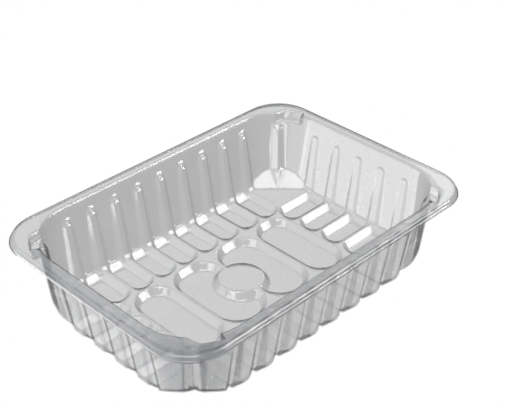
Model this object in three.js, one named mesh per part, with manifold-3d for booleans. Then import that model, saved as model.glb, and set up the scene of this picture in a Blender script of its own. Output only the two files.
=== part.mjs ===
// A clear food tray, thermoformed in one piece from thin plastic sheet.
// Millimetres, +Z up, X along the tray. The origin is on the surface that the tray stands on,
// under the middle of the floor.
//
// The sheet is the space between two skins: its food side, and the same surface moved out by
// the sheet's thickness. Each shape below takes that distance as `skin`, which is 0 for the
// food side and SHEET for the outside.

import * as THREE from 'three';
import { mergeVertices } from 'three/addons/utils/BufferGeometryUtils.js';
import Module from 'manifold-3d';

const wasm = await Module();
wasm.setup();

// Sheet, floor and rim
const SHEET = 0.5;
const HEIGHT = 44.5;
const RECESS_DEPTH = 3.5;
const LOW_FLOOR = SHEET;
const FLOOR = LOW_FLOOR + RECESS_DEPTH;

// Flange round the opening, and the lip that hangs from its edge
const FLANGE = { x: 93.5, y: 65.45, radius: 19.7 };
const LIP_DROP = 2.6;
const LIP_FLARE = 1.15;
const EDGE_ROUND = 0.7;
const OPENING_ROUND = 1;

// Wall: half sizes and corner radius where it starts above the floor and where it meets the flange
const WALL_FOOT = { z: 4.6, x: 81.8, y: 54.2, radius: 19 };
const WALL_TOP = { z: 43.5, x: 86.9, y: 59.6, radius: 28 };

// Ribs on the walls. They end above in a sloped cap and below in a toe that leans out at 45 degrees.
const RIB_FOOT_Z = 5.3;
const RIB_TOP_Z = 35.3;
const RIB_CAP_RISE = 3;
const RIB_TOE_SPREAD = 1.2;
const RIB_BACK = 1.5;

// Long and short sides. A rib's section at each end gives how far it stands out from the wall and
// the half widths of its crest and foot. The slots in the floor lie between the ribs.
const LONG_SIDE = {
  axis: 'y',
  turn: 0,
  ribs: 9,
  pitch: 14.62,
  ribTop: { stands: 1.1, crest: 1.55, foot: 3.45 },
  ribFoot: { stands: 1.8, crest: 1.3, foot: 4.95 },
  slotPitch: 14.62,
  slotStart: 27.4,
  slotEnd: 50,
};
const SHORT_SIDE = {
  axis: 'x',
  turn: -Math.PI / 2,
  ribs: 5,
  pitch: 15.2,
  ribTop: { stands: 0.4, crest: 1.35, foot: 3.1 },
  ribFoot: { stands: 0.9, crest: 1.65, foot: 3.95 },
  slotPitch: 15,
  slotStart: 54,
  slotEnd: 77.5,
};
const RIDGE_WIDTH = 1.7;
const RECESS_RUN = 2.7;
const SLOT_RADIUS = 5.5;
const SLOT_OUTER_RADIUS = 1.2;

// Four oval recesses across the middle of the floor, and the round boss between the inner two
const OVAL_END = 25.5;
const OVALS = [
  { from: RIDGE_WIDTH / 2, to: 28.4, radius: 12.4 },
  { from: 30.1, to: 52.3, radius: 10.4 },
];
const BOSS = { top: 11.6, foot: 14.2 };

// Sloped corners of the floor, and the rib up each corner
const CORNER_START = 112.1 / Math.SQRT2;
const CORNER_END = 89;
const CORNER_RISE = 7.8;
const CORNER_WEDGE_HALF = 40;
const CORNER_RIB = {
  top: { stands: 2.7, half: 0.8, spread: 1.04 },
  toe: { out: 86, z: 11.7, half: 1, spread: 1.15 },
  point: { out: 77.3, z: 1.7, half: 0.2, spread: 0.3 },
};

// Pockets at the rim that keep stacked trays apart: steps in the rounded corners, open at the top.
// Each runs from START to END degrees round its corner, from the end wall or from the side wall.
const POCKET = { shelf: 39.2, depth: 3.9, start: 19.5, end: 43.5, reach: 50 };
const POCKETS = [
  { sideX: 1, sideY: 1, from: 0, direction: 1 },
  { sideX: -1, sideY: 1, from: 180, direction: -1 },
  { sideX: 1, sideY: -1, from: -90, direction: 1 },
  { sideX: -1, sideY: -1, from: -90, direction: -1 },
];

// How round outlines are divided
const WALL_STEPS = 10;
const OVAL_STEPS = 6;
const SLOT_STEPS = 3;
const BOSS_STEPS = 32;

// Cutting shapes run on past the surface that they cut by this much or a few times as much
const PAST = 1;

// The least that is left of a rib's crest, a rib's depth and a straight side, so that none vanishes
const LEAST_CREST = 0.15;
const LEAST_DEPTH = 0.2;
const LEAST_SIDE = 0.2;

function solid(geometry) {
  geometry.deleteAttribute('normal');
  geometry.deleteAttribute('uv');
  const merged = mergeVertices(geometry);
  return new wasm.Manifold(new wasm.Mesh({
    numProp: 3,
    vertProperties: new Float32Array(merged.attributes.position.array),
    triVerts: new Uint32Array(merged.index.array),
  }));
}

// Points closer than this are one point
const SAME_POINT = 1e-4;

// A rounded rectangle as points, the same number for any size. radii: [+y end, -y end].
function outline(centreX, centreY, halfX, halfY, radii, steps) {
  const corners = [[1, 1], [-1, 1], [-1, -1], [1, -1]];
  return corners.flatMap(([sideX, sideY], quadrant) => {
    const radius = sideY > 0 ? radii[0] : radii[1];
    return Array.from({ length: steps + 1 }, (_, step) => {
      const angle = (quadrant + step / steps) * Math.PI / 2;
      return new THREE.Vector2(
        centreX + sideX * (halfX - radius) + radius * Math.cos(angle),
        centreY + sideY * (halfY - radius) + radius * Math.sin(angle),
      );
    });
  });
}

// An extrusion whose rings each have their own outline and height, then a turn about Z.
function loft(rings, turn = 0) {
  const base = rings[0].points;
  const spans = rings.length - 1;
  const geometry = new THREE.ExtrudeGeometry(new THREE.Shape(base), {
    depth: spans, steps: spans, bevelEnabled: false,
  });
  const position = geometry.attributes.position;
  const vertex = new THREE.Vector2();
  for (let i = 0; i < position.count; i += 1) {
    vertex.set(position.getX(i), position.getY(i));
    const corner = base.findIndex((point) => point.distanceTo(vertex) < SAME_POINT);
    const ring = rings[Math.round(position.getZ(i))];
    position.setXYZ(i, ring.points[corner].x, ring.points[corner].y, ring.z);
  }
  geometry.rotateZ(turn);
  return solid(geometry);
}

// A line of (out, z) points moved out by a distance, square to each stretch, corners kept sharp.
function shifted(line, distance) {
  const normals = line.slice(1).map((point, i) => {
    const along = point.clone().sub(line[i]).normalize();
    return new THREE.Vector2(along.y, -along.x);
  });
  return line.map((point, i) => {
    const before = normals[Math.max(i - 1, 0)];
    const after = normals[Math.min(i, normals.length - 1)];
    const miter = before.clone().add(after);
    return point.clone().addScaledVector(miter, 2 * distance / miter.lengthSq());
  });
}

// Wall -------------------------------------------------------------------------------------

function wallAt(z, axis) {
  const share = (z - WALL_FOOT.z) / (WALL_TOP.z - WALL_FOOT.z);
  return THREE.MathUtils.lerp(WALL_FOOT[axis], WALL_TOP[axis], share);
}

function wallRing(z, skin, grow = 0) {
  const draft = Math.atan((WALL_TOP.y - WALL_FOOT.y) / (WALL_TOP.z - WALL_FOOT.z));
  const out = skin / Math.cos(draft) + grow;
  const radius = wallAt(z, 'radius') + out;
  return {
    z,
    points: outline(0, 0, wallAt(z, 'x') + out, wallAt(z, 'y') + out, [radius, radius], WALL_STEPS),
  };
}

// The tub's hollow. Its food side runs out through the flange with a broken edge.
function tub(skin) {
  const bottom = wallRing(FLOOR - skin, skin);
  if (skin > 0) return loft([bottom, wallRing(HEIGHT - skin / 2, skin)]);
  const brokenEdge = (z) => ({ ...wallRing(WALL_TOP.z, 0, z - WALL_TOP.z), z });
  return loft([bottom, brokenEdge(HEIGHT - OPENING_ROUND), brokenEdge(HEIGHT + PAST)]);
}

// Floor ------------------------------------------------------------------------------------

// A recess in the floor, out from (x, from) to (x, to) before it is turned to its side.
// At the top it is `half` wide each way; its sides slope in by RECESS_RUN to the low floor.
// outerRun is how far the far end slopes in; ends are rounded by radii.
function recess({ x, from, to, half, radii, outerRun, steps, turn, top }, skin) {
  const slope = RECESS_RUN / RECESS_DEPTH;
  const outerSlope = outerRun / RECESS_DEPTH;
  const ring = (z) => {
    const rise = z - FLOOR;
    const side = slope * rise + skin * Math.hypot(1, slope);
    const end = outerSlope * rise + skin * Math.hypot(1, outerSlope);
    const low = from - side;
    const high = to + end;
    const halfWidth = half + side;
    const widest = halfWidth - LEAST_SIDE;
    const round = radii.map((radius) => THREE.MathUtils.clamp(radius + side, SLOT_OUTER_RADIUS, widest));
    return { z, points: outline(x, (low + high) / 2, halfWidth, (high - low) / 2, round, steps) };
  };
  return loft([ring(LOW_FLOOR - skin), ring(top)], turn);
}

// Slots between the ribs of one side. Their outer ends rise at 45 degrees into the wall.
function slots(side, turn, skin) {
  const count = side.ribs - 1;
  return Array.from({ length: count }, (_, i) => recess({
    x: (i - (count - 1) / 2) * side.slotPitch,
    from: side.slotStart,
    to: side.slotEnd + RECESS_DEPTH,
    half: (side.slotPitch - RIDGE_WIDTH) / 2,
    radii: [SLOT_OUTER_RADIUS, SLOT_RADIUS],
    outerRun: RECESS_DEPTH,
    steps: SLOT_STEPS,
    turn,
    top: WALL_FOOT.z,
  }, skin));
}

function ovals(skin) {
  return OVALS.flatMap(({ from, to, radius }) => [1, -1].map((sideX) => recess({
    x: sideX * (from + to) / 2,
    from: -OVAL_END,
    to: OVAL_END,
    half: (to - from) / 2,
    radii: [radius, radius],
    outerRun: RECESS_RUN,
    steps: OVAL_STEPS,
    turn: 0,
    top: FLOOR + PAST / 2,
  }, skin)));
}

function boss(skin) {
  const slope = (BOSS.foot - BOSS.top) / RECESS_DEPTH;
  const top = FLOOR - skin;
  const low = LOW_FLOOR - skin - PAST;
  const radiusAt = (z) => BOSS.top + slope * (FLOOR - z) - skin * Math.hypot(1, slope);
  const geometry = new THREE.CylinderGeometry(radiusAt(top), radiusAt(low), top - low, BOSS_STEPS);
  geometry.rotateX(Math.PI / 2);
  geometry.translate(0, 0, (top + low) / 2);
  return solid(geometry);
}

// Corners ----------------------------------------------------------------------------------

// Turns that bring +Y to each corner's own direction, 45 degrees between two sides. The middle of
// the rounded corner lies to one side of that line through the origin.
const CORNER_ASIDE = (WALL_TOP.x - WALL_TOP.y) / Math.SQRT2;
const CORNERS = [
  { turn: -Math.PI / 4, aside: CORNER_ASIDE },
  { turn: Math.PI / 4, aside: -CORNER_ASIDE },
  { turn: 3 * Math.PI / 4, aside: CORNER_ASIDE },
  { turn: -3 * Math.PI / 4, aside: -CORNER_ASIDE },
];

// The slope that cuts off a floor corner: a wedge under a plane that rises outwards.
function cornerWedge({ turn }, skin) {
  const slope = CORNER_RISE / (CORNER_END - CORNER_START);
  const drop = skin * Math.hypot(1, slope);
  const heightAt = (out) => FLOOR + slope * (out - CORNER_START) - drop;
  const near = CORNER_START - 4 * PAST;
  const far = CORNER_END + 8 * PAST;
  const section = new THREE.Shape([
    new THREE.Vector2(near, heightAt(near)),
    new THREE.Vector2(near, heightAt(near) - PAST),
    new THREE.Vector2(far, heightAt(near) - PAST),
    new THREE.Vector2(far, heightAt(far)),
  ]);
  const geometry = new THREE.ExtrudeGeometry(section, { depth: 2 * CORNER_WEDGE_HALF, bevelEnabled: false });
  geometry.translate(0, 0, -CORNER_WEDGE_HALF);
  // section x becomes out (+Y), section y becomes up, and the extrusion runs along X
  geometry.applyMatrix4(new THREE.Matrix4().set(
    0, 0, 1, 0,
    1, 0, 0, 0,
    0, 1, 0, 0,
    0, 0, 0, 1,
  ));
  geometry.rotateZ(turn);
  return solid(geometry);
}

// Ribs -------------------------------------------------------------------------------------

// A rib is a tapering bar of trapezium section. stations: crest line points (out, z), each with
// the crest's half width, the slope of the sides and how far out the hidden back lies.
function ribBar(x, stations, turn, skin) {
  const crest = shifted(stations.map(({ out, z }) => new THREE.Vector2(out, z)), skin);
  const rings = stations.map(({ half, spread, back }, i) => {
    const narrow = skin * Math.tan(Math.atan(1 / spread) / 2);
    const crestHalf = Math.max(half - narrow, LEAST_CREST);
    const depth = Math.max(back - crest[i].x, LEAST_DEPTH);
    return {
      z: crest[i].y,
      points: [
        new THREE.Vector2(x - crestHalf, crest[i].x),
        new THREE.Vector2(x + crestHalf, crest[i].x),
        new THREE.Vector2(x + crestHalf + spread * depth, crest[i].x + depth),
        new THREE.Vector2(x - crestHalf - spread * depth, crest[i].x + depth),
      ],
    };
  });
  return loft(rings, turn);
}

// One side's ribs: a 45 degree foot on the floor, the crest, and a sloped cap up to the wall.
function ribs(side, turn, skin) {
  const station = (z, stands, { crest, foot, stands: full }) => ({
    out: wallAt(z, side.axis) - stands,
    z,
    half: crest,
    spread: (foot - crest) / full,
    back: wallAt(z, side.axis) + RIB_BACK,
  });
  const { ribTop, ribFoot } = side;
  const foot = station(RIB_FOOT_Z, ribFoot.stands, ribFoot);
  const drop = RIB_FOOT_Z + PAST;
  const cap = station(RIB_TOP_Z + RIB_CAP_RISE, 0, ribTop);
  const stations = [
    { ...foot, out: foot.out - drop, z: -PAST, back: foot.back - drop, spread: RIB_TOE_SPREAD },
    foot,
    station(RIB_TOP_Z, ribTop.stands, ribTop),
    { ...cap, out: cap.out + ribTop.stands, z: cap.z + RIB_CAP_RISE },
  ];
  return Array.from({ length: side.ribs }, (_, i) => (
    ribBar((i - (side.ribs - 1) / 2) * side.pitch, stations, turn, skin)
  ));
}

// The rib up the middle of a rounded corner. Its toe lies on the corner's slope and narrows to
// a point where the slope starts.
function cornerRib({ turn, aside }, skin) {
  const supportAt = (z) => {
    const radius = wallAt(z, 'radius');
    return (wallAt(z, 'x') + wallAt(z, 'y') - 2 * radius) / Math.SQRT2 + radius;
  };
  const { top, toe, point } = CORNER_RIB;
  const back = (z) => supportAt(z) + RIB_BACK / 2;
  const capZ = RIB_TOP_Z + RIB_CAP_RISE;
  return ribBar(aside, [
    { ...point, back: point.out + top.stands },
    { ...toe, back: back(toe.z) },
    { ...top, out: supportAt(RIB_TOP_Z) - top.stands, z: RIB_TOP_Z, back: back(RIB_TOP_Z) },
    { ...top, out: supportAt(RIB_TOP_Z) + RIB_BACK / 4, z: capZ, back: back(capZ) },
  ], turn, skin);
}

// Pockets ----------------------------------------------------------------------------------

// A band of the wall moved out, kept only over a stretch of one rounded corner.
function pocket({ sideX, sideY, from, direction }, skin) {
  const band = loft([
    wallRing(POCKET.shelf - skin, skin, POCKET.depth),
    wallRing(skin > 0 ? HEIGHT - skin / 2 : HEIGHT + PAST, skin, POCKET.depth),
  ]);
  const centre = new THREE.Vector2(
    sideX * (WALL_TOP.x - WALL_TOP.radius), sideY * (WALL_TOP.y - WALL_TOP.radius),
  );
  const grow = THREE.MathUtils.radToDeg(skin / WALL_TOP.radius);
  const ray = (degrees) => {
    const angle = THREE.MathUtils.degToRad(from + direction * degrees);
    return new THREE.Vector2(Math.cos(angle), Math.sin(angle)).multiplyScalar(POCKET.reach).add(centre);
  };
  const sector = new THREE.ExtrudeGeometry(
    new THREE.Shape([centre, ray(POCKET.start - grow), ray(POCKET.end + grow)]),
    { depth: HEIGHT + 2 * PAST, bevelEnabled: false },
  );
  return band.intersect(solid(sector));
}

// Flange and lip ---------------------------------------------------------------------------

function flange() {
  const edge = [
    new THREE.Vector2(LIP_FLARE, HEIGHT - LIP_DROP),
    new THREE.Vector2(0, HEIGHT - EDGE_ROUND),
    new THREE.Vector2(-EDGE_ROUND, HEIGHT),
  ];
  const rim = (line) => loft(line.map((point) => {
    const radius = FLANGE.radius + point.x;
    return {
      z: point.y,
      points: outline(0, 0, FLANGE.x + point.x, FLANGE.y + point.x, [radius, radius], WALL_STEPS),
    };
  }));
  const [tip, bend, top] = shifted(edge, -SHEET);
  const along = tip.clone().sub(bend).normalize();
  const turned = bend.clone().lerp(top, (HEIGHT - SHEET - bend.y) / (top.y - bend.y));
  return rim(edge).subtract(rim([tip.addScaledVector(along, PAST), bend, turned]));
}

// Tray -------------------------------------------------------------------------------------

function hollow(skin) {
  const sides = [LONG_SIDE, SHORT_SIDE].flatMap((side) => [
    [side, side.turn], [side, side.turn + Math.PI],
  ]);
  let space = tub(skin);
  for (const corner of CORNERS) space = space.subtract(cornerWedge(corner, skin));
  for (const [side, turn] of sides) {
    for (const slot of slots(side, turn, skin)) space = space.add(slot);
  }
  for (const oval of ovals(skin)) space = space.add(oval);
  space = space.subtract(boss(skin));
  for (const [side, turn] of sides) {
    for (const rib of ribs(side, turn, skin)) space = space.subtract(rib);
  }
  for (const corner of CORNERS) space = space.subtract(cornerRib(corner, skin));
  for (const place of POCKETS) space = space.add(pocket(place, skin));
  return space;
}

function trayGeometry() {
  const tray = flange().add(hollow(SHEET)).subtract(hollow(0));
  const mesh = tray.getMesh();
  const geometry = new THREE.BufferGeometry();
  geometry.setAttribute('position', new THREE.BufferAttribute(new Float32Array(mesh.vertProperties), 3));
  geometry.setIndex(new THREE.BufferAttribute(new Uint32Array(mesh.triVerts), 1));
  geometry.computeVertexNormals();
  return geometry;
}

const clearPlastic = new THREE.MeshStandardMaterial({
  color: 0xd8dadc, roughness: 0.12, metalness: 0, transparent: true, opacity: 0.35,
});

const tray = new THREE.Mesh(trayGeometry(), clearPlastic);
tray.name = 'tray';

const group = new THREE.Group();
group.add(tray);

export default group;
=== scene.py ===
# A clear thermoformed food tray on a white table, in metres, in the frame of its solids.
import math

import bmesh
import bpy
import numpy as np
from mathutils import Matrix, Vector


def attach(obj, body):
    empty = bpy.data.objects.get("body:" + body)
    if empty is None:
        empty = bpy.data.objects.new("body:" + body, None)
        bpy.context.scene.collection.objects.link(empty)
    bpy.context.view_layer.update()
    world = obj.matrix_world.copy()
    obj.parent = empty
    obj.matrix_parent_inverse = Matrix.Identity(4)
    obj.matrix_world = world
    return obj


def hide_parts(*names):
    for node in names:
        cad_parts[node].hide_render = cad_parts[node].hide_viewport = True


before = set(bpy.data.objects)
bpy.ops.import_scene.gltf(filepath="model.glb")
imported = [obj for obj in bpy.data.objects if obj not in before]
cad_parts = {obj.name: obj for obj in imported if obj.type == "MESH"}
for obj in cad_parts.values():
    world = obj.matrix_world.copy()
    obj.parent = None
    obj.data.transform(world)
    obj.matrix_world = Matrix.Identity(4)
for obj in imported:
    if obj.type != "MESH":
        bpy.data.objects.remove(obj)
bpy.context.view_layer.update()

# ---- Viewpoint ------------------------------------------------------------------------------
# A short telephoto lens a little over half a metre away, looking down over the near corner,
# with the long sides running up to the right.
scene = bpy.context.scene


def add(name, data):
    made = bpy.data.objects.new(name, data)
    scene.collection.objects.link(made)
    return made


LOOKS_DOWN, LOOKS_TOWARDS = 33.58, 45        # degrees below level, and round from +X
camera = add("camera", bpy.data.cameras.new("camera"))
camera.data.lens = 78.35
camera.data.sensor_width = 36
camera.location = (-0.29947, -0.30723, 0.33237)
camera.rotation_euler = (math.radians(90 - LOOKS_DOWN), 0, math.radians(LOOKS_TOWARDS - 90))
scene.camera = camera

# ---- Tray -----------------------------------------------------------------------------------
# One sheet of clear plastic, warmed and drawn down on to a mould, then trimmed round the rim.
# It is made here in the same way: the mould is a function of place, every vertex of a grid is
# moved along its own line until it meets the mould, and the sheet's thickness comes last.
MM = 0.001                       # every length of the tray is in millimetres
SHEET = 0.5
HEIGHT = 44.5
LOW_FLOOR = SHEET
RECESS_DEPTH, RECESS_RUN = 3.5, 2.7
FLOOR = LOW_FLOOR + RECESS_DEPTH
RECESS_SLOPE = RECESS_RUN / RECESS_DEPTH

# How far two faces of the mould run into each other at an edge
CRISP, FIRM, SOFT, LOOSE = 0.2, 0.25, 0.3, 0.4

# Half sizes and corner radius of the wall at two heights, and of the flange's outer edge
WALL_FOOT_Z, WALL_FOOT = 4.6, (81.8, 54.2, 19.0)
WALL_TOP_Z, WALL_TOP = 43.5, (86.9, 59.6, 28.0)
FLANGE = (93.5, 65.45, 19.7)
WALL_COSINE = math.cos(math.atan((WALL_TOP[1] - WALL_FOOT[1]) / (WALL_TOP_Z - WALL_FOOT_Z)))

# The ribs of each side, with how far they stand out and the half widths of crest and foot at
# two heights, and where the slots between them start and end
LONG_SIDE = {
    "wall": 1, "ribs": 9, "pitch": 14.62, "slots": (27.4, 50.0),
    "low": {"stands": 2.05, "crest": 1.3, "foot": 4.6},
    "high": {"stands": 1.3, "crest": 1.5, "foot": 3.15},
}
SHORT_SIDE = {
    "wall": 0, "ribs": 5, "pitch": 15.1, "slots": (54.0, 77.5),
    "low": {"stands": 0.9, "crest": 1.65, "foot": 3.95},
    "high": {"stands": 0.4, "crest": 1.35, "foot": 3.1},
}
RIDGE = 1.7                      # width of the floor that is left between two slots
SLOT_RADIUS = 5.5

# The two heights. Below the lower one a rib's toe leans out at 45 degrees and narrows, and
# above the upper one its rounded cap slopes back into the wall
RIB_LOW_Z, RIB_HIGH_Z = 5.3, 35.3
TOE_SPREAD, TOE_WIDENS, TOE_LEAST = 1.2, 0.6, 0.3
CAP_SLOPE, CAP_ROUND = 2.5, 0.25
CORNER_RIB = {"stands": (3.35, 2.75), "spread": (1.32, 1.15)}      # at the two heights
CORNER_CAP_SLOPE, CORNER_CAP_ROUND = 1.05, 0.14
TONGUE = {"point": 79.3, "z": 4.1, "slope": 1.13, "widens": 0.17, "side": 0.75, "soft": 1.5}

OVAL_END = 25.5
OVALS = ((0.85, 28.4, 12.4), (30.1, 52.3, 10.4))    # nearest and farthest x, end radius
BOSS_TOP, BOSS_SLOPE = 11.6, 2.6 / RECESS_DEPTH

# The slope in each corner, along the diagonal from the middle of the tray, and the pocket
# above it. The diagonals of the corners miss the middle by CORNER_ASIDE
CORNER_START, CORNER_END, CORNER_RISE = 112.1 / math.sqrt(2), 89.0, 7.8
CORNER_SLOPE = CORNER_RISE / (CORNER_END - CORNER_START)
CORNER_ASIDE = (WALL_TOP[0] - WALL_TOP[1]) / math.sqrt(2)
POCKET_SHELF, POCKET_DEPTH = 39.2, 3.9
POCKET_FROM = math.radians(14.5)
POCKET_END, POCKET_END_NORMAL = (16.8, 17.0), (0.161, 0.987)

# The grid over the floor: a rounded rectangle whose corners are the centres of the fans of
# lines that reach the rounded corners of the wall
PATCH = (62.5, 35.2)
PATCH_RADIUS = 8.8
PIVOT_Z = 10.0


def smooth_max(a, b, blend):
    overlap = np.maximum(blend - np.abs(a - b), 0) / blend
    return np.maximum(a, b) + overlap * overlap * blend / 4


def smooth_min(a, b, blend):
    return -smooth_max(-a, -b, blend)


def outside(x, y, half_x, half_y, radius):
    """Distance in plan from a rounded rectangle round the origin, negative inside it."""
    out_x = np.abs(x) - half_x + radius
    out_y = np.abs(y) - half_y + radius
    corner = np.hypot(np.maximum(out_x, 0), np.maximum(out_y, 0))
    return corner + np.minimum(np.maximum(out_x, out_y), 0) - radius


def wall_at(z):
    share = (z - WALL_FOOT_Z) / (WALL_TOP_Z - WALL_FOOT_Z)
    return [low + (high - low) * share for low, high in zip(WALL_FOOT, WALL_TOP)]


def from_nearest(along, pitch, count):
    """Signed distance from the nearest of a row's centres."""
    last = (count - 1) / 2
    return along - (np.clip(np.round(along / pitch + last), 0, count - 1) - last) * pitch


def recess(plan, z):
    """A hollow under the floor with sloping sides, from its outline's distance in plan."""
    sides = (plan + RECESS_SLOPE * (FLOOR - z)) / math.hypot(1, RECESS_SLOPE)
    return smooth_max(sides, LOW_FLOOR - z, FIRM)


def slots(side, along, out, z):
    start, end = side["slots"]
    across = from_nearest(along, side["pitch"], side["ribs"] - 1)
    length = 2 * (end - start)
    half_width = (side["pitch"] - RIDGE) / 2
    plan = outside(across, out - start - length / 2, half_width, length / 2, SLOT_RADIUS)
    rising_end = (out - end - (z - LOW_FLOOR)) / math.sqrt(2)
    return smooth_max(recess(plan, z), rising_end, SOFT)


def ovals(x, y, z):
    """The two inner ovals, with the boss between them, and the two outer ones."""
    inner, outer = (
        recess(outside(np.abs(x) - (near + far) / 2, y, (far - near) / 2, OVAL_END, radius), z)
        for near, far, radius in OVALS
    )
    boss = (BOSS_TOP + BOSS_SLOPE * (FLOOR - z) - np.hypot(x, y)) / math.hypot(1, BOSS_SLOPE)
    return np.minimum(smooth_max(inner, boss, FIRM), outer)


def between_heights(z):
    return np.clip((z - RIB_LOW_Z) / (RIB_HIGH_Z - RIB_LOW_Z), 0, 1)


def rib_section(side, z):
    share = between_heights(z)
    return [side["low"][k] + (side["high"][k] - side["low"][k]) * share for k in side["low"]]


def ribs(side, along, out, z):
    across = np.abs(from_nearest(along, side["pitch"], side["ribs"]))
    stands, crest, foot = rib_section(side, z)
    toe_spread = np.maximum(TOE_SPREAD + (z - FLOOR) * TOE_WIDENS, TOE_LEAST)
    spread = np.where(z < RIB_LOW_Z, toe_spread, (foot - crest) / stands)
    toe = wall_at(RIB_LOW_Z)[side["wall"]] - side["low"]["stands"] + z - RIB_LOW_Z
    line = smooth_min(wall_at(z)[side["wall"]] - stands, toe, SOFT)
    sides = np.maximum(across - crest, 0) / spread
    cap = np.maximum(z - RIB_HIGH_Z + CAP_ROUND * across ** 2, 0) / CAP_SLOPE
    flank = (np.hypot(sides, cap) - (out - line)) * spread / np.hypot(1, spread)
    return smooth_max(line - out, flank, FIRM)


def corner_wall(z):
    half_x, half_y, radius = wall_at(z)
    return (half_x + half_y - 2 * radius) / math.sqrt(2) + radius


def corner_rib(out, across, z):
    """A rib with a sharp crest, from the distances along and across the corner's diagonal."""
    stands, spread = (low + (high - low) * between_heights(z) for low, high in CORNER_RIB.values())
    line = corner_wall(z) - stands
    faces = [(sign * across - spread * (out - line)) / np.hypot(1, spread) for sign in (1, -1)]
    cap_line = corner_wall(RIB_HIGH_Z) - CORNER_RIB["stands"][1]
    cap = z - RIB_HIGH_Z + CORNER_CAP_ROUND * across ** 2 - CORNER_CAP_SLOPE * (out - cap_line)
    cap = cap / math.hypot(1, CORNER_CAP_SLOPE)
    return smooth_max(smooth_max(*faces, SOFT), cap, FIRM)


def tongue(out, across, z):
    """The narrow wedge that runs on from a corner rib down the corner's slope."""
    run = out - TONGUE["point"]
    top = TONGUE["z"] + TONGUE["slope"] * run
    sides = np.abs(across) - TONGUE["widens"] * run - TONGUE["side"] * (top - z)
    return smooth_max((z - top) / TONGUE["soft"], sides, CRISP)


def pockets(x, y, z, wall):
    """The step high in each corner, next to the short side where y > 0 and to the long one else."""
    along = np.where(y > 0, np.abs(x) - PATCH[0], np.abs(y) - PATCH[1])
    side = np.where(y > 0, np.abs(y) - PATCH[1], np.abs(x) - PATCH[0])
    start = along * math.sin(POCKET_FROM) - side * math.cos(POCKET_FROM)
    end = ((along - POCKET_END[0]) * POCKET_END_NORMAL[0]
           + (side - POCKET_END[1]) * POCKET_END_NORMAL[1])
    band = smooth_max(wall - POCKET_DEPTH * WALL_COSINE, POCKET_SHELF - z, LOOSE)
    return smooth_max(band, np.maximum(np.maximum(start, end), -along), SOFT)


def mould(x, y, z):
    """Negative in the space that holds the food, positive in the mould."""
    flat_x, flat_y = np.abs(x), np.abs(y)
    out = (flat_x + flat_y) / math.sqrt(2)
    across = (flat_x - flat_y) / math.sqrt(2) - CORNER_ASIDE
    slope = (FLOOR + CORNER_SLOPE * (out - CORNER_START) - z) / math.hypot(1, CORNER_SLOPE)
    floor = smooth_max(FLOOR - z, slope, FIRM)
    floor = smooth_min(floor, slots(LONG_SIDE, x, flat_y, z), FIRM)
    floor = smooth_min(floor, slots(SHORT_SIDE, y, flat_x, z), FIRM)
    floor = smooth_min(floor, ovals(x, y, z), FIRM)
    wall = outside(x, y, *wall_at(z)) * WALL_COSINE
    surface = smooth_max(wall, floor, SOFT)
    surface = smooth_max(surface, -ribs(LONG_SIDE, x, flat_y, z), SOFT)
    surface = smooth_max(surface, -ribs(SHORT_SIDE, y, flat_x, z), SOFT)
    surface = smooth_max(surface, -corner_rib(out, across, z), SOFT)
    surface = smooth_max(surface, -tongue(out, across, z), CRISP)
    return smooth_min(surface, pockets(x, y, z, wall), SOFT)


def meet(function, origin, direction, reach):
    """How far along each line the function changes from negative to positive."""
    near = np.zeros(len(origin))
    far = np.full(len(origin), float(reach))
    for _ in range(34):
        middle = (near + far) / 2
        place = origin + direction * middle[:, None]
        inside = function(*place.T) < 0
        near = np.where(inside, middle, near)
        far = np.where(inside, far, middle)
    return near


# How far the grid's lines lie from the middle of a rib or ridge: three at the edge of its crest
# and three at its foot. On the floor the crest is a ridge's and the foot lies in the slot
CREST_BAND, FOOT_BAND = 0.3, 0.35
RIDGE_CREST, RIDGE_FOOT = np.array(RIDGE / 2), np.array(RIDGE / 2 + RECESS_RUN)


def beside(crest, foot, pitch):
    last = np.full_like(crest, pitch / 2)
    return np.stack([crest * 0, crest - CREST_BAND, crest, crest + CREST_BAND,
                     foot - FOOT_BAND, foot, foot + FOOT_BAND, (foot + last) / 2, last])


def stations(side, edge):
    """The grid's lines across one side, from one edge of the patch to the other."""
    steps = beside(RIDGE_CREST, RIDGE_FOOT, side["pitch"])
    centres = (np.arange(side["ribs"]) - (side["ribs"] - 1) / 2) * side["pitch"]
    marks = [centre + sign * step for centre in centres for sign in (1, -1) for step in steps]
    inner = [mark for mark in marks if abs(mark) < edge - 0.3]
    return np.unique(np.round(inner + [edge, -edge], 4))


def evenly(marks, edge, kept=()):
    """The same number of lines with those inside the edge spread out, the kept ones among them."""
    outer = [m for m in marks if abs(m) >= edge]
    inner = sorted([*kept, outer[len(outer) // 2 - 1], 0, outer[len(outer) // 2]])
    while len(inner) - 2 < len(marks) - len(outer):
        widest = max(range(len(inner) - 1), key=lambda k: inner[k + 1] - inner[k])
        inner.insert(widest + 1, (inner[widest] + inner[widest + 1]) / 2)
    return np.array(sorted(outer + inner[1:-1]))


columns = stations(LONG_SIDE, PATCH[0])
rows = stations(SHORT_SIDE, PATCH[1])

# Between the slots the lines run evenly, and along the straight sides of the ovals. SLOT_ZONE
# says where, in x and in y, the lines of the slots take over
EVEN_WITHIN = (53, 25.4)
SLOT_ZONE = ((50.5, 53.5), (25.4, 26.9))
OVAL_LINES = (-CREST_BAND, 0, CREST_BAND, RECESS_RUN - FOOT_BAND, RECESS_RUN, RECESS_RUN + FOOT_BAND)
oval_edges = [sign * (edge + turn * inset)
              for near, far, _ in OVALS for edge, turn in ((near, 1), (far, -1))
              for inset in OVAL_LINES for sign in (1, -1)]
even_columns = evenly(columns, EVEN_WITHIN[0], oval_edges)
even_rows = evenly(rows, EVEN_WITHIN[1])

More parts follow.
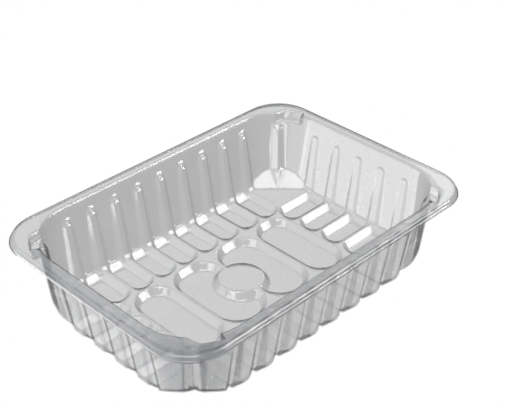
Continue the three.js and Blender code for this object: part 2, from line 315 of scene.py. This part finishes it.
# Half of a corner's fan of lines in degrees, close together at the pocket's and the rib's edges
HALF_FAN = np.radians((0, 5, 10, 14.1, 14.9, 19, 25, 31, 35.5, 38, 40, 41.8, 43.4, 45))
FAN = len(HALF_FAN) - 1
COLUMNS = len(columns) - 1 + 2 * FAN
ROWS = len(rows) - 1 + 2 * FAN


def split(index, marks):
    """A grid index as a place along the straight part and steps into the corner beyond it."""
    low = np.maximum(FAN - index, 0)
    high = np.maximum(index - FAN - len(marks) + 1, 0)
    return marks[np.clip(index - FAN, 0, len(marks) - 1)], high - low


def patch(i, j):
    """Plan position and outward direction of the floor grid's vertex (i, j)."""
    x, past_x = split(i, columns)
    y, past_y = split(j, rows)
    even_x, even_y = split(i, even_columns)[0], split(j, even_rows)[0]
    by_x, by_y = (np.interp(np.abs(at), zone, (0, 1)) for at, zone in zip((even_x, even_y), SLOT_ZONE))
    x, y = even_x + (x - even_x) * by_y, even_y + (y - even_y) * by_x
    a, b = np.abs(past_x), np.abs(past_y)
    most = np.maximum(np.maximum(a, b), 1)
    angle = np.interp(np.minimum(a, b) / most * FAN, np.arange(FAN + 1), HALF_FAN)
    angle = np.where(b > a, math.pi / 2 - angle, angle)
    direction = np.stack([np.cos(angle) * np.sign(past_x), np.sin(angle) * np.sign(past_y)], 1)
    straight = np.stack([np.sign(past_x) * (a > 0), np.sign(past_y) * (b > 0)], 1)
    direction = np.where(((a == 0) | (b == 0))[:, None], straight, direction)
    radius = PATCH_RADIUS * np.maximum(a, b) / FAN
    return np.stack([x, y], 1) + direction * radius[:, None], direction


# The sheet's rings beyond the floor grid: first a fan of lines from straight down to level,
# then level lines up the wall, close together at the rib caps and the pockets' shelves
FAN_DEGREES = (20, 37, 48, 54, 56.2, 57.4, 58.6, 60.3, 62.5, 66, 69.6, 72, 74.4, 76, 80, 90)
LEVELS = (11, 11.8, 12.6, 18, 26, 34.2, 35, 35.4, 35.9, 36.6, 37.3, 38, 38.7, 39.05, 39.25, 39.5,
          41, 43.5)
SLOPE_FROM, SLOPE_TO = 32, 61    # degrees between which the lines draw in to the ribs' edges
WALL_REACH, FLANGE_REACH = 40, 60
OPENING_ROUND = 1.0
OPENING_DEGREES = (30, 60, 90)
FLAT_SHARES = (0.3, 0.7)
# The outer edge bends round and runs down into a flared lip: distances out from the flange's
# edge and heights below its top
LIP = ((-1.04, 0), (-0.66, 0.07), (-0.33, 0.26), (-0.1, 0.53), (0.45, 1.44), (1.15, 2.6))

sheet = bmesh.new()
bmesh.ops.create_grid(sheet, x_segments=COLUMNS, y_segments=ROWS, size=1)
grid = np.array([v.co[:2] for v in sheet.verts])
cell = np.round((grid + 1) / 2 * (COLUMNS, ROWS)).astype(int)
plan, _ = patch(cell[:, 0], cell[:, 1])
start = np.column_stack([plan, np.full(len(plan), PIVOT_Z)])
down = np.tile((0.0, 0.0, -1.0), (len(plan), 1))
place = start + down * meet(mould, start, down, PIVOT_Z)[:, None]
vertex_at = {}
for vertex, (i, j), point in zip(sheet.verts, cell, place):
    vertex.co = Vector(point) * MM
    vertex_at[i, j] = vertex

# The grid's edge, in order round the tray
edge_cells = ([(i, 0) for i in range(COLUMNS)] + [(COLUMNS, j) for j in range(ROWS)]
              + [(i, ROWS) for i in range(COLUMNS, 0, -1)] + [(0, j) for j in range(ROWS, 0, -1)])
ring = [vertex_at[c] for c in edge_cells]
edge_plan, outward = patch(*np.array(edge_cells).T)
flat_out = np.column_stack([outward, np.zeros(len(outward))])


def level(z, share=1.0):
    """Where a ring's lines start. Along each side they draw closer to the ribs' own edges."""
    plan = edge_plan.copy()
    for axis, side in ((0, LONG_SIDE), (1, SHORT_SIDE)):
        straight = outward[:, axis] == 0
        along = plan[straight, axis]
        off = from_nearest(along, side["pitch"], side["ribs"])
        _, crest, foot = rib_section(side, z)
        moved = np.interp(np.abs(off), beside(RIDGE_CREST, RIDGE_FOOT, side["pitch"]),
                          beside(RIDGE_CREST + (crest - RIDGE_CREST) * share,
                                 RIDGE_FOOT + (foot - RIDGE_FOOT) * share, side["pitch"]))
        past_last = np.abs(along) > (side["ribs"] - 1) / 2 * side["pitch"]
        room = np.abs(off) + (PATCH[axis] - np.abs(along)) / 2
        moved = np.where(past_last, np.minimum(moved, room), moved)
        plan[straight, axis] = along - off + np.sign(off) * moved
    return np.column_stack([plan, np.full(len(plan), float(z))])


def edge_of_flange(grow):
    def beyond(x, y, z):
        return outside(x, y, *FLANGE) - grow
    return meet(beyond, level(HEIGHT), flat_out, FLANGE_REACH)


rings = []
for degrees in FAN_DEGREES:
    angle = math.radians(degrees)
    direction = flat_out * math.sin(angle) + np.array((0, 0, -math.cos(angle)))
    share = np.clip((degrees - SLOPE_FROM) / (SLOPE_TO - SLOPE_FROM), 0, 1)
    start = level(RIB_LOW_Z, share) * (1, 1, 0) + (0, 0, PIVOT_Z)
    rings.append(start + direction * meet(mould, start, direction, WALL_REACH)[:, None])
for z in LEVELS:
    reach = meet(mould, level(z), flat_out, WALL_REACH)
    rings.append(level(z) + flat_out * reach[:, None])
for degrees in OPENING_DEGREES:
    angle = math.radians(degrees)
    out = reach + OPENING_ROUND * (1 - math.cos(angle))
    rings.append(level(LEVELS[-1] + OPENING_ROUND * math.sin(angle)) + flat_out * out[:, None])
flat_start, flat_end = out, edge_of_flange(LIP[0][0])
for share in FLAT_SHARES:
    out = flat_start + (flat_end - flat_start) * share
    rings.append(level(HEIGHT) + flat_out * out[:, None])
for grow, drop in LIP:
    rings.append(level(HEIGHT - drop) + flat_out * edge_of_flange(grow)[:, None])

for points in rings:
    edges = [sheet.edges.get((ring[k - 1], ring[k])) for k in range(len(ring))]
    fresh = bmesh.ops.extrude_edge_only(sheet, edges=edges)["geom"]
    follows = {}
    for vertex in (g for g in fresh if isinstance(g, bmesh.types.BMVert)):
        for edge in vertex.link_edges:
            follows.setdefault(edge.other_vert(vertex), vertex)
    ring = [follows[vertex] for vertex in ring]
    for vertex, point in zip(ring, points):
        vertex.co = Vector(point) * MM

# Where the surface bends, long edges are halved and their middles laid on the mould, in two
# rounds: an edge longer than the first number whose ends bend past the second, as a cosine
HALVING_ROUNDS = ((1.0, 0.975), (0.62, 0.93))
ON_MOULD, BELOW_OPENING = 0.01, 43
LAYING_STEPS, LONGEST_STEP = 6, 0.3


def slant(points):
    """The mould function at points, and how it changes along each axis."""
    h = 0.02
    steps = [(mould(*(points + h * axis).T) - mould(*(points - h * axis).T)) / (2 * h)
             for axis in np.eye(3)]
    return mould(*points.T), np.column_stack(steps)


for longest, least_cosine in HALVING_ROUNDS:
    sheet.verts.index_update()
    points = np.array([v.co for v in sheet.verts]) / MM
    value, change = slant(points)
    change /= np.linalg.norm(change, axis=1)[:, None]
    laid = (np.abs(value) < ON_MOULD) & (points[:, 2] < BELOW_OPENING)
    bent = []
    for edge in sheet.edges:
        a, b = (v.index for v in edge.verts)
        if laid[a] and laid[b] and change[a] @ change[b] < least_cosine and edge.calc_length() > longest * MM:
            bent.append(edge)
    halved = bmesh.ops.subdivide_edges(sheet, edges=bent, cuts=1, use_grid_fill=True)["geom_inner"]
    fresh = [v for v in halved if isinstance(v, bmesh.types.BMVert)]
    points = np.array([v.co for v in fresh]) / MM
    for _ in range(LAYING_STEPS):
        value, change = slant(points)
        step = np.clip(value, -LONGEST_STEP, LONGEST_STEP)[:, None]
        points -= step * change / np.sum(change ** 2, axis=1)[:, None]
    for vertex, point in zip(fresh, points):
        vertex.co = Vector(point) * MM
bmesh.ops.triangulate(sheet, faces=[face for face in sheet.faces if len(face.verts) > 4])

bmesh.ops.recalc_face_normals(sheet, faces=sheet.faces)
if sum(face.normal.z for face in sheet.faces) < 0:
    bmesh.ops.reverse_faces(sheet, faces=sheet.faces)
for face in sheet.faces:
    face.smooth = True
tray_mesh = bpy.data.meshes.new("tray")
sheet.to_mesh(tray_mesh)
sheet.free()
tray = add("formed_tray", tray_mesh)
thickness = tray.modifiers.new("sheet thickness", "SOLIDIFY")
thickness.thickness = SHEET * MM
thickness.offset = -1
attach(tray, "root")
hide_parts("tray")


class Maths:
    """A shader value that adds, subtracts and multiplies as an expression does."""

    def __init__(self, tree, socket=None):
        self.tree, self.socket = tree, socket

    def node(self, kind, inputs, output=0, **settings):
        """A new node: its settings first, then the values or links of its sockets."""
        made = self.tree.nodes.new(kind)
        for key, value in settings.items():
            setattr(made, key, value)
        for key, value in inputs.items():
            if isinstance(value, Maths):
                self.tree.links.new(value.socket, made.inputs[key])
            else:
                made.inputs[key].default_value = value
        return Maths(self.tree, made.outputs[output] if made.outputs else None)

    def maths(self, operation, first, second):
        return self.node("ShaderNodeMath", {0: first, 1: second}, operation=operation)

    def __add__(self, other):
        return self.maths("ADD", self, other)

    def __sub__(self, other):
        return self.maths("SUBTRACT", self, other)

    def __rsub__(self, other):
        return self.maths("SUBTRACT", other, self)

    def __mul__(self, other):
        return self.maths("MULTIPLY", self, other)

    def __pow__(self, other):
        return self.maths("POWER", self, other)

    def __rpow__(self, other):
        return self.maths("POWER", other, self)

    __radd__, __rmul__ = __add__, __mul__


def material(name):
    """An empty material, and the place on the object as a shader value in it."""
    made = bpy.data.materials.new(name)
    made.use_nodes = True
    made.node_tree.nodes.clear()
    return made, Maths(made.node_tree).node("ShaderNodeTexCoord", {}, output="Object")


# The edge-on grey is painted shade: it darkens the sheet where it is seen edge on, in place of the dark edges
# that bent light gives clear plastic.
FACE_ON_GREY, EDGE_ON_SHADE_GREY = (0.33, 0.34, 0.35, 1.0), (0.08, 0.085, 0.09, 1.0)
EDGE_ON_POWER, EDGE_ON_COVER = 5.0, 0.45
UNEVEN, GLOSS = 0.04, 0.1
COLOUR_A, COLOUR_B, COLOUR_OUT = 6, 7, 2     # a Mix node's sockets for colours


def plastic(name, opacity):
    """Clear plastic, denser where it is seen edge on, with a darker grey there that is painted shade for the
    dark edges bent light gives clear plastic, and a faint drawn ripple.
    """
    made, position = material(name)
    facing = position.node("ShaderNodeLayerWeight", {"Blend": 0.5}, output="Facing")
    drawn = position.node("ShaderNodeTexNoise", {"Vector": position, "Scale": 60.0, "Detail": 2.0})
    fine = position.node("ShaderNodeTexNoise", {"Vector": position, "Scale": 900.0, "Detail": 1.0})
    edge_on = facing ** EDGE_ON_POWER
    uneven = (drawn - 0.5) * UNEVEN
    # Painted shade: the base grey turns darker towards edge on.
    colour = position.node(
        "ShaderNodeMix", {"Factor": edge_on, COLOUR_A: FACE_ON_GREY, COLOUR_B: EDGE_ON_SHADE_GREY},
        output=COLOUR_OUT, data_type="RGBA")
    ripple = position.node(
        "ShaderNodeBump", {"Strength": 0.01, "Distance": 0.0002, "Height": drawn + fine * 0.1})
    shader = position.node("ShaderNodeBsdfPrincipled", {
        "Base Color": colour,
        "Roughness": uneven + GLOSS,
        "IOR": 1.57,
        "Alpha": edge_on * EDGE_ON_COVER + opacity + uneven,
        "Normal": ripple,
    })
    shader.node("ShaderNodeOutputMaterial", {"Surface": shader})
    return made


# The face towards the food carries most of the sheet's tone, so its forms read once
tray.data.materials.append(plastic("clear_plastic", 0.53))
tray.data.materials.append(plastic("clear_plastic_outside", 0.14))
thickness.material_offset = 1
tray.visible_glossy = tray.visible_diffuse = False     # one wall throws no glare on the next

# ---- Table ----------------------------------------------------------------------------------
# A plain white table just under the tray. It is white to the camera and adds no light, so that
# only the lamps shape the plastic.
TABLE_REACH, TABLE_GAP = 4, 0.0002

table_top = bmesh.new()
bmesh.ops.create_grid(table_top, x_segments=1, y_segments=1, size=TABLE_REACH)
table_mesh = bpy.data.meshes.new("table")
table_top.to_mesh(table_mesh)
table_top.free()
table = add("table", table_mesh)
table.location.z = -TABLE_GAP
white, position = material("table")
shader = position.node("ShaderNodeBsdfPrincipled", {
    "Base Color": (0.0, 0.0, 0.0, 1.0), "Roughness": 0.9, "Specular IOR Level": 0.0,
    "Emission Color": (1.0, 1.0, 1.0, 1.0), "Emission Strength": 1.0,
})
shader.node("ShaderNodeOutputMaterial", {"Surface": shader})
table_mesh.materials.append(white)
table.visible_diffuse = table.visible_glossy = False

# ---- Light ----------------------------------------------------------------------------------
# Large soft lamps in a dim pale room. The key lights the whole tray from the left. Each of the
# others shows only as gloss, on the faces that mirror it: the low ones on the far walls and
# ribs, the level and high ones on slopes and caps, those below on the near walls.
def lamp(name, azimuth, elevation, size, radiance, distance=1.5, only_gloss=True):
    """A flat lamp that faces the tray, with its azimuth and elevation in degrees."""
    made = add(name, bpy.data.lights.new(name, "AREA"))
    made.data.shape = "RECTANGLE"
    made.data.size, made.data.size_y = size
    made.data.energy = radiance * math.pi * size[0] * size[1]
    made.data.use_shadow = False
    made.visible_diffuse = not only_gloss
    azimuth, elevation = math.radians(azimuth), math.radians(elevation)
    towards = Vector((math.cos(azimuth) * math.cos(elevation), math.sin(azimuth) * math.cos(elevation),
                      math.sin(elevation)))
    made.location = towards * distance
    made.rotation_euler = towards.to_track_quat("Z", "Y").to_euler()


lamp("key", 184, 46, (0.6, 0.6), 8.4, distance=1.2, only_gloss=False)
lamp("left_low", -137, -18, (0.9, 0.8), 8)
lamp("left_far_low", 176, -20, (1.3, 0.8), 3.5)
lamp("far_low", 140, -22, (1.0, 0.9), 6.5)
lamp("behind", 46, 36, (1.0, 0.5), 2.4)
lamp("behind_right", 24, 32, (0.35, 0.5), 3)
lamp("right", -48, 34, (1.0, 0.9), 16)
lamp("right_low", -54, -1, (0.6, 0.5), 18)
lamp("overhead", 227, 65, (0.6, 0.9), 12)
lamp("below_right", -62, -48, (1.7, 0.7), 3.2)
lamp("below_left", 152, -48, (1.7, 0.7), 2.8)
lamp("far", 137, 30, (1.0, 0.9), 3)

room = bpy.data.worlds.new("room")
scene.world = room
room.use_nodes = True
room_light = room.node_tree.nodes["Background"].inputs
room_light["Color"].default_value = (0.9, 0.93, 1.0, 1.0)
room_light["Strength"].default_value = 0.12
scene.view_settings.view_transform = "Standard"

bpy.context.view_layer.update()
